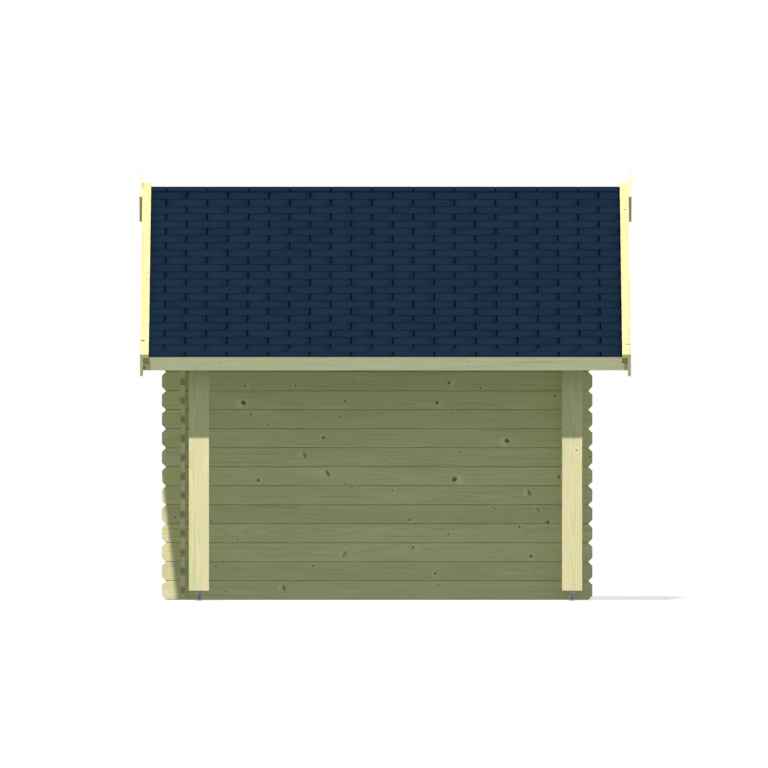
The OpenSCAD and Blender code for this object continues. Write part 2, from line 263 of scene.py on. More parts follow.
def tube(path: Array, wide: Array, tall: Array, segments: int = 20) -> Shell:
    """Oval section carried along a path that stays level.

    Args:
        path: points of shape (stations, 3) at one height.
        wide: half width at each station, level and square to the path.
        tall: half height at each station.
        segments: points round the section.

    Returns:
        The tube with both ends closed.
    """
    ahead = np.gradient(path, axis=0)
    ahead /= np.linalg.norm(ahead, axis=1, keepdims=True)
    up = np.array([0.0, 0.0, 1.0])
    right = np.cross(ahead, up)
    turn = np.linspace(0, 2 * np.pi, segments, endpoint=False)
    section = (
        np.cos(turn)[None, :, None] * (wide[:, None] * right)[:, None]
        + np.sin(turn)[None, :, None] * (tall[:, None] * up)[:, None]
    )
    points = (path[:, None] + section).reshape(-1, 3)
    last = (len(path) - 1) * segments
    faces = [
        grid_faces(len(path), segments, wrap=True)[:, ::-1],
        np.arange(segments)[None],
        last + np.arange(segments)[None, ::-1],
    ]
    return Shell(points, faces, np.full(len(points), PLAIN_TONE))


class Value:
    """Number, vector or colour in a node tree, on which the signs of arithmetic add math nodes."""

    def __init__(self, graph: "Graph", socket: bpy.types.NodeSocket) -> None:
        """Keeps a socket and the graph that it belongs to."""
        self.graph = graph
        self.socket = socket

    def __add__(self, other: Input) -> "Value":
        """This value plus another."""
        return self.apply("ADD", other)

    def __sub__(self, other: Input) -> "Value":
        """This value less another."""
        return self.apply("SUBTRACT", other)

    def __rsub__(self, other: float) -> "Value":
        """A number less this value."""
        return self.graph.fed(self.graph.add("ShaderNodeMath", operation="SUBTRACT"), other, self)

    def __mul__(self, other: Input) -> "Value":
        """This value times another."""
        return self.apply("MULTIPLY", other)

    def __truediv__(self, other: Input) -> "Value":
        """This value over another."""
        return self.apply("DIVIDE", other)

    def __abs__(self) -> "Value":
        """This value without its sign."""
        return self.apply("ABSOLUTE")

    def apply(self, operation: str, *others: Input) -> "Value":
        """Result of a math node whose first input is this value."""
        return self.graph.fed(self.graph.add("ShaderNodeMath", operation=operation), self, *others)

    def step(self, low: float, high: float) -> "Value":
        """Smooth step from 0 where this value is low to 1 where it is high."""
        node = self.graph.add("ShaderNodeMapRange", interpolation_type="SMOOTHSTEP")
        return self.graph.fed(node, self, low, high, 0.0, 1.0)

    def between(self, start: float, end: float) -> "Value":
        """Value that runs from start to end as this one runs from 0 to 1."""
        return self.apply("MULTIPLY_ADD", end - start, start)

    def across_from(self, other: "Value") -> "Value":
        """Root of the sum of the squares of this value and another, which lies square to it."""
        return self.apply("MULTIPLY_ADD", self, other * other).apply("SQRT")


class Graph:
    """Node tree of a material or world, with short calls that add a node and join its sockets."""

    def __init__(self, owner: bpy.types.ID) -> None:
        """Empties the owner's node tree.

        Args:
            owner: the material or world.
        """
        owner.use_nodes = True
        self.tree = owner.node_tree
        self.tree.nodes.clear()

    def add(self, kind: str, **settings: object) -> bpy.types.Node:
        """Adds a node and sets its named properties.

        Args:
            kind: type of the node.
            settings: values of its properties by name.

        Returns:
            The node.
        """
        node = self.tree.nodes.new(kind)
        for key, value in settings.items():
            setattr(node, key, value)
        return node

    def join(self, source: Input, target: bpy.types.NodeSocket) -> None:
        """Links a value to a socket, or writes a number or colour into it.

        Args:
            source: the value, number or colour.
            target: the socket that takes it.
        """
        if isinstance(source, Value):
            self.tree.links.new(source.socket, target)
        else:
            target.default_value = (*source, 1.0) if isinstance(source, tuple) else source

    def fed(self, node: bpy.types.Node, *sources: Input) -> Value:
        """Joins sources to a node's inputs in turn.

        Args:
            node: the node.
            sources: what its inputs take, from the first on.

        Returns:
            The node's first output.
        """
        for source, target in zip(sources, node.inputs):
            self.join(source, target)
        return Value(self, node.outputs[0])

    def blend(self, share: Input, first: Input, second: Input, kind: str = "MIX") -> Value:
        """Mixes two colours.

        Args:
            share: share of the second colour.
            first: first colour.
            second: second colour.
            kind: blend type.

        Returns:
            The mixed colour.
        """
        node = self.add("ShaderNodeMix", data_type="RGBA", blend_type=kind, clamp_factor=True)
        for source, place in zip((share, first, second), COLOUR_MIX_INPUTS):
            self.join(source, node.inputs[place])
        return Value(self, node.outputs[COLOUR_MIX_OUTPUT])

    def overlaid(self, share: Input, first: Value, second: Value) -> Value:
        """Mixes two shaders by the share of the second."""
        return self.fed(self.add("ShaderNodeMixShader"), share, first, second)

    def coordinate(self, kind: str = "Object") -> Value:
        """One kind of texture coordinate."""
        return Value(self, self.add("ShaderNodeTexCoord").outputs[kind])

    def vector(self, x: Input, y: Input, z: Input) -> Value:
        """Joins three values to a vector."""
        return self.fed(self.add("ShaderNodeCombineXYZ"), x, y, z)

    def grey(self, value: Value) -> Value:
        """Grey with a value in all three of its parts."""
        return self.fed(self.add("ShaderNodeCombineColor"), value, value, value)

    def parts(self, source: Value, kind: str) -> list[Value]:
        """Splits a vector or a colour.

        Args:
            source: the vector or colour.
            kind: XYZ for a vector, Color for a colour.

        Returns:
            Its three parts.
        """
        node = self.add(f"ShaderNodeSeparate{kind}")
        self.join(source, node.inputs[0])
        return [Value(self, part) for part in node.outputs[:3]]

    def luck(self, number: Input) -> list[Value]:
        """Draws three values by chance, which are the same for the same number.

        Args:
            number: the number.

        Returns:
            Three values between 0 and 1.
        """
        node = self.add("ShaderNodeTexWhiteNoise", noise_dimensions="1D")
        self.join(number, node.inputs["W"])
        return self.parts(Value(self, node.outputs["Color"]), "Color")

    def noise(self, vector: Value, scale: float, detail: float = 2.0) -> Value:
        """Reads smooth noise.

        Args:
            vector: place at which it is read.
            scale: waves to each unit of the vector.
            detail: finer layers on top of the first.

        Returns:
            The noise, between 0 and 1.
        """
        node = self.add("ShaderNodeTexNoise")
        for name, source in (("Vector", vector), ("Scale", scale), ("Detail", detail)):
            self.join(source, node.inputs[name])
        return Value(self, node.outputs[0])


class Surface(Graph):
    """Material with one surface shader."""

    def __init__(self, name: str) -> None:
        """Makes a material.

        Args:
            name: name of the material.
        """
        self.material = bpy.data.materials.new(name)
        super().__init__(self.material)
        self.output = self.add("ShaderNodeOutputMaterial")
        self.shader = self.add("ShaderNodeBsdfPrincipled")
        self.join(Value(self, self.shader.outputs[0]), self.output.inputs["Surface"])

    def look(self, name: str, source: Input) -> None:
        """Joins a value to one of the shader's sockets, or writes a constant into it."""
        self.join(source, self.shader.inputs[name])

    def bump(self, height: Value, distance: float, strength: float) -> None:
        """Bends the shader's normal by a relief.

        Args:
            height: height of the relief, from 0 to 1.
            distance: depth of the relief in metres.
            strength: share of the relief that shows.
        """
        node = self.add("ShaderNodeBump")
        for name, source in (("Height", height), ("Distance", distance), ("Strength", strength)):
            self.join(source, node.inputs[name])
        self.look("Normal", Value(self, node.outputs[0]))


@dataclass(frozen=True)
class Panel:
    """Framed leaf: stiles from bottom to top, rails between them and upright boards in the fields."""

    base: float
    half: float
    rails: tuple[float, ...]
    rail: float = 0.095
    middle_rail: float = 0.46
    boards: int = 6
    groove: Span = (0.0042, 0.0012)
    butt: Span = (0.0016, 0.0006)
    seam_share: float = 0.6
    rail_number: float = 20.0

    @classmethod
    def of_leaf(cls, node: str) -> "Panel":
        """Reads a door leaf, whose middle rail starts at its share of the height, off the leaf's box.

        Args:
            node: name of the leaf's CAD node.

        Returns:
            The leaf's parts.
        """
        low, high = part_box(node)
        tall, half_rail = high[2] - low[2], cls.rail / 2
        rails = (half_rail, cls.middle_rail * tall + half_rail, tall - half_rail)
        return cls(low[2], (high[1] - low[1]) / 2, rails)

    def split(self, up: Value, out: Value) -> tuple[Value, Value, Value, Value]:
        """Splits the leaf into its parts.

        A place outside the fields' width is on a stile. Between the stiles it is on a rail if it is within
        half a rail of that rail's middle, where the fibres lie level, and otherwise on one of the upright
        boards.

        Args:
            up: height of the place.
            out: place across the leaf from its middle.

        Returns:
            The place along the fibres and across the part from its middle, the part's number, and the painted
            shade in the grooves between boards and in the joints between rails and stiles.
        """
        field = self.half - self.rail
        board = 2 * field / self.boards
        side = abs(out)
        inside = side.apply("LESS_THAN", field)
        number = ((out + field) / board).apply("FLOOR")
        from_board = out + (field - board / 2) - number * board
        from_stile = side - (self.half - self.rail / 2)
        height = up - self.base
        level: Input = 0.0
        from_rail: Input = 0.0
        for place, middle in enumerate(self.rails):
            off = height - middle
            on = abs(off).apply("LESS_THAN", self.rail / 2)
            level = on * (self.rail_number + place) + level
            from_rail = on * off + from_rail
        beside = level.apply("GREATER_THAN", 1.0)
        rail = inside * beside

        def either(share: Value, first: Value, second: Value) -> Value:
            """First value where the share is 0, second where it is 1."""
            return share * (second - first) + first

        across = either(rail, either(inside, from_stile, from_board), from_rail)
        groove = (board / 2 - abs(from_board)).step(*self.groove) * (inside - rail)
        butt = abs(side - field).step(*self.butt) * beside
        painted_seam_shade = groove.apply("MAXIMUM", butt) * self.seam_share
        return either(rail, up, out), across, either(rail, number, level), painted_seam_shade


@dataclass(frozen=True)
class Lay:
    """How the boards of a piece lie, so that their fibres follow them.

    A tilt about X first brings a sloping piece level. A course of 0 makes the piece one board, a square one
    has knots on all its sides, and a panel splits a leaf into its stiles, rails and boards.
    """

    grain: Grain
    tilt: float = 0.0
    course: float = 0.0
    start: float = 0.0
    middle: float = 0.0
    seed: float = 0.0
    joint: float = 0.0
    square: bool = False
    panel: Panel | None = None

    def axes(self, g: Graph, source: str, kind: str) -> list[Value]:
        """Tilts a place or direction level and splits it.

        Args:
            g: graph to add to.
            source: the texture coordinate of the place or direction.
            kind: the Mapping node's kind of vector.

        Returns:
            The parts along the fibres, through the thickness and across the width.
        """
        turned = g.add("ShaderNodeMapping", vector_type=kind)
        turned.inputs["Rotation"].default_value = (self.tilt, 0.0, 0.0)
        g.join(g.coordinate(source), turned.inputs["Vector"])
        parts = g.parts(Value(g, turned.outputs[0]), "XYZ")
        return [parts[axis] for axis in self.grain.value]


@dataclass(frozen=True)
class KnotMasks:
    """Masks of a board's knots: the swell of the fibres round each, the knot, its dark share and light."""

    swell: Value
    knot: Value
    dark: Value
    light: Value


@dataclass(frozen=True)
class Knots:
    """Knots scattered along a board, each with its own size, lean and place across the board.

    Each knot is an oval with an uneven outline, dark at its rim, and has light wood to one side of it. Small
    knots are faint, and a few are long and slant across the board. Distances from a knot are in its radii.
    """

    pitch: float = 0.29
    present: Span = (0.30, 0.32)
    course_share: float = 0.84
    single_spread: float = 0.06
    facing: Span = (0.0, 0.01)
    radius: Span = (0.0042, 0.0142)
    rarity: float = 2.6
    lean: Span = (-0.62, 0.38)
    slanting: Span = (0.92, 0.93)
    slant: Span = (-2.4, 1.2)
    slant_width: float = 0.55
    slant_strength: float = 0.7
    outline_scale: float = 130.0
    outline: Span = (0.6, 1.4)
    edge: Span = (1.45, 0.6)
    strength: Span = (0.4, 1.0)
    rim_outside: Span = (1.35, 0.95)
    rim_inside: Span = (0.45, 0.9)
    dark_knots: Span = (0.40, 0.60)
    swell_fall: float = 0.18
    light_along: Span = (-4.6, 2.4)
    light_across: Span = (1.2, -1.2)
    light_edge: Span = (3.0, 0.8)
    light_share: float = 0.62
    swell_light: float = 0.1

    def masks(self, g: Graph, lay: Lay, along: Value, across: Value, depth: Value) -> KnotMasks:
        """Scatters the knots on a line along the board.

        Args:
            g: graph to add to.
            lay: how the boards lie.
            along: place along the board.
            across: place across the board from its middle.
            depth: place through the board from its middle.

        Returns:
            The masks of the knots.
        """
        nearest = g.add("ShaderNodeTexVoronoi", voronoi_dimensions="1D")
        place = along / self.pitch
        g.join(place, nearest.inputs["W"])
        g.join(1.0, nearest.inputs["Scale"])
        first, second, third = g.parts(Value(g, nearest.outputs["Color"]), "Color")
        off_along = (place - Value(g, nearest.outputs["W"])) * self.pitch
        present = third.step(*self.present)
        if lay.square:
            way = first * (2 * math.pi)
            cos, sin = way.apply("COSINE"), way.apply("SINE")
            off_across = depth * cos - across * sin
            present = present * (across * cos + depth * sin).step(*self.facing)
        else:
            spread = self.course_share * lay.course if lay.course else self.single_spread
            off_across = across - first.between(-spread / 2, spread / 2)
        radius = second.apply("POWER", self.rarity).between(*self.radius)
        slanting = third.step(*self.slanting)
        lean = third.between(*self.lean) + slanting * first.between(*self.slant)
        wide = off_across * slanting.between(1.0, self.slant_width)
        away = (off_across * lean + off_along).across_from(wide)
        outline = g.noise(g.vector(along, across, depth), self.outline_scale, detail=1.0)
        away = away / (radius * outline.between(*self.outline))
        knot = away.step(*self.edge) * present * second.between(*self.strength)
        rim = away.step(*self.rim_outside) * away.step(*self.rim_inside)
        swell = (away * away * -self.swell_fall).apply("EXPONENT") * present
        beside = radius * third.between(*self.light_along) + off_along
        below = radius * first.between(*self.light_across) + off_across
        light = (beside.across_from(below) / radius).step(*self.light_edge) * (present * second)
        return KnotMasks(
            swell,
            knot * slanting.between(1.0, self.slant_strength),
            rim.apply("MAXIMUM", first.step(*self.dark_knots)),
            light * self.light_share + swell * self.swell_light,
        )


@dataclass(frozen=True)
class Marks:
    """Long marks in wood: noise with so many waves a metre each way, shown between two of its levels."""

    along: float
    across: float
    levels: Span
    share: float = 1.0


@dataclass(frozen=True)
class TreatedWood:
    """Planed softwood with a pale green treatment: rings about a pith, fibres, knots, painted shade in
    joints.

    The looks are cosines of the angle between a face's normal and the fibres. The places of a joint and of
    the painted highlight on the edge below it are in joint widths from the edge of the board, and those of a
    recess in metres from it.
    """

    pale: Colour = (0.855, 0.805, 0.475)
    late: Colour = (0.65, 0.59, 0.295)
    green: Colour = (0.745, 0.775, 0.447)
    bleached: Colour = (0.91, 0.845, 0.645)
    streak: Colour = (0.47, 0.43, 0.20)
    knot: Colour = (0.26, 0.135, 0.05)
    knot_dark: Colour = (0.11, 0.075, 0.03)
    halo: Colour = (0.97, 0.96, 0.74)
    joint_shade: Colour = (0.16, 0.155, 0.06)
    greening: Marks = Marks(1.7, 9.0, (0.3, 0.75))
    bleaching: Marks = Marks(2.3, 26.0, (0.58, 0.72), 0.5)
    streaking: Marks = Marks(1.3, 75.0, (0.60, 0.72), 0.4)
    fibres: Marks = Marks(7.0, 420.0, (0.89, 1.11))
    wander: Marks = Marks(0.9, 7.0, (0.0, 1.0), 0.045)
    knots: Knots = Knots()
    board_shift: float = 41.7
    board_tone: Span = (0.94, 1.04)
    pith_across: Span = (-0.06, 0.06)
    pith_depth: Span = (0.03, 0.08)
    ring: float = 0.0042
    ring_rise: Span = (0.35, 0.9)
    ring_fall: Span = (1.0, 0.93)
    knot_swell: float = 0.012
    contrast: float = 0.42
    side_look: Span = (0.9, 0.6)
    face_look: Span = (0.5, 0.2)
    corner_look: Span = (0.3, 0.6)
    corner_shade: float = 0.255
    upper_corner_shade: float = 0.06
    recess: Span = (0.0235, 0.0215)
    recess_shade: float = 0.76
    end_tone: float = 1.09
    joint_edge: Span = (1.0, 0.3)
    lip_rise: Span = (3.2, 1.6)
    lip_fall: Span = (0.8, 1.3)
    lip_share: float = 0.22
    joint_waves: float = 2.6
    joint_levels: Span = (0.3, 0.7)
    joint_depth: Span = (0.14, 0.56)
    roughness: float = 0.7
    late_roughness: float = 0.6
    gloss: float = 0.22
    relief: Span = (0.0005, 0.5)

    def material(self, name: str, lay: Lay) -> bpy.types.Material:
        """Builds the finish for one lay of boards.

        The ring number is the distance from a pith beside the board, plus a slow wander along it and a swell
        round each knot. A face that looks along the fibres is end grain, and one halfway to it is a cut
        corner, on which shade is painted, more where it looks up. On a log's end the recesses above and below
        are painted with shade, and the end grain is painted lighter, as if it caught more light.

        Args:
            name: name of the material.
            lay: how the boards lie.

        Returns:
            The material.
        """
        g = Surface(name)
        along, depth, across = lay.axes(g, "Object", "POINT")
        look_along, _, look_across = lay.axes(g, "Normal", "NORMAL")
        depth = depth - lay.middle
        across = across - lay.start
        board: Input = lay.seed
        painted_seam_shade: Value | None = None
        if lay.panel:
            along, across, number, painted_seam_shade = lay.panel.split(along, across)
            board = number + lay.seed
        elif lay.course:
            number = (across / lay.course).apply("FLOOR")
            across = across - number * lay.course - lay.course / 2
            board = number + lay.seed
        luck = g.luck(board)
        along = luck[0] * self.board_shift + along

        def drawn_out(marks: Marks, detail: float = 2.0) -> Value:
            """Noise drawn out along the fibres."""
            place = g.vector(along * marks.along, across * marks.across, depth * marks.across)
            return g.noise(place, 1.0, detail)

        def shown(marks: Marks) -> Value:
            """Share of the marks in the colour."""
            return drawn_out(marks).step(*marks.levels) * marks.share

        knots = self.knots.masks(g, lay, along, across, depth)
        from_pith = across - luck[1].between(*self.pith_across)
        radius = from_pith.across_from(depth - luck[2].between(*self.pith_depth))
        radius = drawn_out(self.wander) * self.wander.share + radius
        turn = ((knots.swell * self.knot_swell + radius) / self.ring).apply("FRACT")
        late = turn.step(*self.ring_rise) * turn.step(*self.ring_fall)
        fibre = drawn_out(self.fibres, detail=3.0)

        end = abs(look_along)
        side = end.step(*self.side_look)
        face = end.step(*self.face_look)
        # Painted shade on cut corners, deeper on those that look up.
        corner = end.step(*self.corner_look) * side
        corner = corner * (look_across * self.upper_corner_shade + self.corner_shade)
        shade = luck[0].between(*self.board_tone) * fibre.between(*self.fibres.levels) * (1.0 - corner)
        if lay.joint:
            # Painted shade in the recesses above and below a log's end.
            recess = abs(across).step(*(lay.course / 2 - place for place in self.recess)) * (1.0 - side)
            shade = shade * recess.between(1.0, self.recess_shade)
        # Painted light: end grain is made lighter, as if it caught more light.
        shade = shade * side.between(self.end_tone, 1.0)

        colour = g.blend(shown(self.greening), self.pale, self.green)
        colour = g.blend(late * self.contrast, colour, self.late)
        colour = g.blend(shown(self.bleaching), colour, self.bleached)
        colour = g.blend(shown(self.streaking), colour, self.streak)
        colour = g.blend(1.0, colour, g.grey(shade), "MULTIPLY")
        colour = g.blend(knots.light * face, colour, self.halo)
        colour = g.blend(knots.knot * face, colour, g.blend(knots.dark, self.knot, self.knot_dark))
        if lay.joint:
            colour = self._jointed(g, lay, colour, along, across, face)
        # Painted shade in the grooves and joints of a panelled leaf.
        if painted_seam_shade is not None:
            colour = g.blend(painted_seam_shade, colour, self.joint_shade)
        g.look("Base Color", colour)
        g.look("Roughness", late.between(self.roughness, self.late_roughness))
        g.look("Specular IOR Level", self.gloss)
        g.bump((late + fibre) * 0.5, *self.relief)
        return g.material

    def _jointed(self, g: Graph, lay: Lay, colour: Value, along: Value, across: Value, face: Value) -> Value:
        """Paints shade into the joints between boards, deeper in some stretches, and a highlight on the edges
        below.

        Args:
            g: graph to add to.
            lay: how the boards lie.
            colour: colour of the boards.
            along: place along the board.
            across: place across the board from its middle.
            face: share of the long faces, which alone have light edges.

        Returns:
            The colour with its joints.
        """

        def inside(places: Span) -> list[float]:
            """Places across the board that lie so many joint widths inside its upper edge."""
            return [lay.course / 2 - place * lay.joint for place in places]

        edge = abs(across).step(*inside(self.joint_edge))
        # Painted highlight along the top edge of each board, below the joint above it.
        lip = across.step(*inside(self.lip_rise)) * across.step(*inside(self.lip_fall))
        depth = g.noise(g.vector(along * self.joint_waves, 0.0, 0.0), 1.0).step(*self.joint_levels)
        colour = g.blend(lip * face * self.lip_share, colour, self.halo)
        # Painted shade in the joints, deeper in some stretches than in others.
        return g.blend(edge * depth.between(*self.joint_depth), colour, self.joint_shade)


PLANED = TreatedWood()
WALL_LOG = TreatedWood(
    pale=(0.835, 0.785, 0.455),
    late=(0.63, 0.57, 0.28),
    green=(0.73, 0.755, 0.43),
    bleached=(0.90, 0.83, 0.63),
)
# Painted light: a paler copy of the planed wood, which lifts the fascias that the lamp only grazes.
PAINTED_LIGHT_EAVE_BOARD = TreatedWood(
    pale=(0.97, 0.94, 0.60),
    late=(0.84, 0.80, 0.46),
    green=(0.90, 0.93, 0.58),
    contrast=0.3,
)
# Painted shade: a darker copy of the planed wood, so that the cover strips in full sun stay short of white.
PAINTED_SHADE_COVER_STRIP = TreatedWood(
    pale=(0.80, 0.74, 0.38),
    late=(0.62, 0.53, 0.24),
    green=(0.74, 0.72, 0.37),
    bleached=(0.86, 0.80, 0.5),
)


@dataclass(frozen=True)
class Bitumen:
    """Mineral-faced bitumen: near-black blue with fine granules and a tone for each tab."""

    base: Colour = (0.0066, 0.0185, 0.038)
    light: Colour = (0.0090, 0.0240, 0.049)
    # Painted shade: colour of the dark sheets in the slots, along the eave and in the ridge joints.
    dark: Colour = (0.0006, 0.0034, 0.012)
    granule: Colour = (0.016, 0.034, 0.062)
    granule_scale: float = 900.0
    granule_levels: Span = (0.55, 0.75)
    granule_share: float = 0.35
    cloud_scale: float = 9.0
    cloud_tone: Span = (-0.3, 0.3)
    tab_tone: float = 0.55
    slot_tone: Span = (0.12, 0.02)
    roughness: float = 0.95
    gloss: float = 0.02
    relief: Span = (0.0006, 0.6)

    def material(self, name: str) -> bpy.types.Material:
        """Builds the finish. A tone of 0 is the dark sheet of painted shade that shows in the slots.

        Args:
            name: name of the material.

        Returns:
            The material.
        """
        g = Surface(name)
        place = g.coordinate()
        tone = Value(g, g.add("ShaderNodeAttribute", attribute_name="tone").outputs["Fac"])
        grain = g.noise(place, self.granule_scale, detail=1.0)
        cloud = g.noise(place, self.cloud_scale, detail=3.0).between(*self.cloud_tone)
        colour = g.blend(tone * self.tab_tone + cloud, self.base, self.light)
        colour = g.blend(grain.step(*self.granule_levels) * self.granule_share, colour, self.granule)
        g.look("Base Color", g.blend(tone.step(*self.slot_tone), colour, self.dark))
        g.look("Roughness", self.roughness)
        g.look("Specular IOR Level", self.gloss)
        g.bump(grain, *self.relief)
        return g.material


@dataclass(frozen=True)
class Galvanised:
    """Dull zinc-coated steel with a soft spangle."""

    base: Colour = (0.22, 0.24, 0.255)
    light: Colour = (0.30, 0.325, 0.34)
    spangle_scale: float = 140.0
    roughness: Span = (0.38, 0.58)
    dimple_scale: float = 260.0
    relief: Span = (0.0002, 0.3)

    def material(self, name: str) -> bpy.types.Material:
        """Builds the finish.

        Args:
            name: name of the material.

        Returns:
            The material.
        """
        g = Surface(name)
        place = g.coordinate()
        cells = g.add("ShaderNodeTexVoronoi")
        g.join(place, cells.inputs["Vector"])
        g.join(self.spangle_scale, cells.inputs["Scale"])
        spangle = g.parts(Value(g, cells.outputs["Color"]), "Color")
        g.look("Base Color", g.blend(spangle[0], self.base, self.light))
        g.look("Roughness", spangle[1].between(*self.roughness))
        g.look("Metallic", 1.0)
        g.bump(g.noise(place, self.dimple_scale), *self.relief)
        return g.material


@dataclass
class RoofFrame:
    """Slope coordinates: u down from the ridge, v up from the underside of the roof boards, in metres.

    The half lengths are measured along the ridge: to the ends of the board run, to the inner edges of the
    cover strips and to the outer faces of the bargeboards. The ends are those of the boards on each slope.
    """

    ridge_y: float
    ridge_z: float
    half_boards: float
    half_inner: float
    half_outer: float
    ends: dict[Side, float]
    pitch: float = math.radians(24.0)
    board: float = 0.018
    shingle: float = 0.0045
    strip_top: float = 0.053
    fascia: float = 0.018
    tail: float = 0.067
    clearance: float = 0.0005

    @classmethod
    def from_cad(cls) -> "RoofFrame":
        """Reads the ridge off the ridge purlin's top edge, and the edges off the boards and cover strips.

        Returns:
            The slope coordinates of this roof.
        """
        low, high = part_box("ridge_purlin")
        ridge_y, ridge_z = (low[1] + high[1]) / 2, high[2]
        ends = {}
        for side in Side:
            low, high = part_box(f"{side.tag}_roof_boards")
            run = max(ridge_y - low[1], high[1] - ridge_y)
            ends[side] = (run - cls.board * math.sin(cls.pitch)) / math.cos(cls.pitch)
        half_boards = high[0]
        inner, outer = (corner[0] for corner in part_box("canopy_front_cover_strip"))
        return cls(ridge_y, ridge_z, half_boards, inner, outer, ends)

    def at(self, side: Side, x: Array, u: Array, v: Array) -> Array:
        """Points on one slope.

        Args:
            side: the slope.
            x: places along the ridge.
            u: distances down the slope.
            v: heights square to the slope.

        Returns:
            The points, with a last axis of 3.
        """
        c, s = math.cos(self.pitch), math.sin(self.pitch)
        x, u, v = np.broadcast_arrays(x, u, v)
        return np.stack([x, self.ridge_y + side.value * (u * c + v * s), self.ridge_z - u * s + v * c], -1)

    def run(self, side: Side, x: Array, end: float, v: Array, tone: Array) -> Shell:
        """Pieces from an upright cut at the ridge to a square one down the slope.

        Args:
            side: the slope.
            x: places of each outline's points along the ridge, of shape (pieces, points).
            end: distance of the lower cut down the slope.
            v: heights of the points, of the same shape.
            tone: one tone for each piece.

        Returns:
            The pieces as one shell.
        """
        upper = self.at(side, x, -v * math.tan(self.pitch), v)
        lower = self.at(side, x, end, v)
        return prisms(*((lower, upper) if side is Side.CANOPY else (upper, lower)), tone)

    def outward(self, side: Side) -> Vector:
        """Direction square to one slope."""
        return Vector((0.0, side.value * math.sin(self.pitch), math.cos(self.pitch)))


def settle(piece: bpy.types.Object, slot: Slot, material: bpy.types.Material, *nodes: str) -> None:
    """Dresses a new piece, makes it ride on the house and hides the CAD nodes that it stands for.

    Args:
        piece: the new piece.
        slot: its material slot in the record; not used.
        material: its finish.
        nodes: names of the CAD nodes that it stands for, if any.
    """
    piece.data.materials.append(material)
    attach(piece, ROOT)
    if nodes:
        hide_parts(*nodes)
    LOG.info("piece %s: %d faces", piece.name, len(piece.data.polygons))


@dataclass(frozen=True)
class TabRow:
    """Spacing of the shingle tabs along the ridge, the same on the slopes and on the ridge itself."""

    tab: float = 0.248
    slot: float = 0.009
    slot_at: float = 0.168
    least: float = 0.004

    def cut(self, left: Array, half: float) -> tuple[Array, Array, Array]:
        """Cuts tabs off at the cover strips.

        Args:
            left: middle of the slot before each tab.
            half: place along the ridge at which tabs are cut off, on either side.

        Returns:
            Start and end of each tab, half a slot in from its slots, and which tabs are wide enough to keep.
        """
        start = np.clip(left + self.slot / 2, -half, half)
        end = np.clip(left + self.tab - self.slot / 2, -half, half)
        return start, end, end - start > self.least


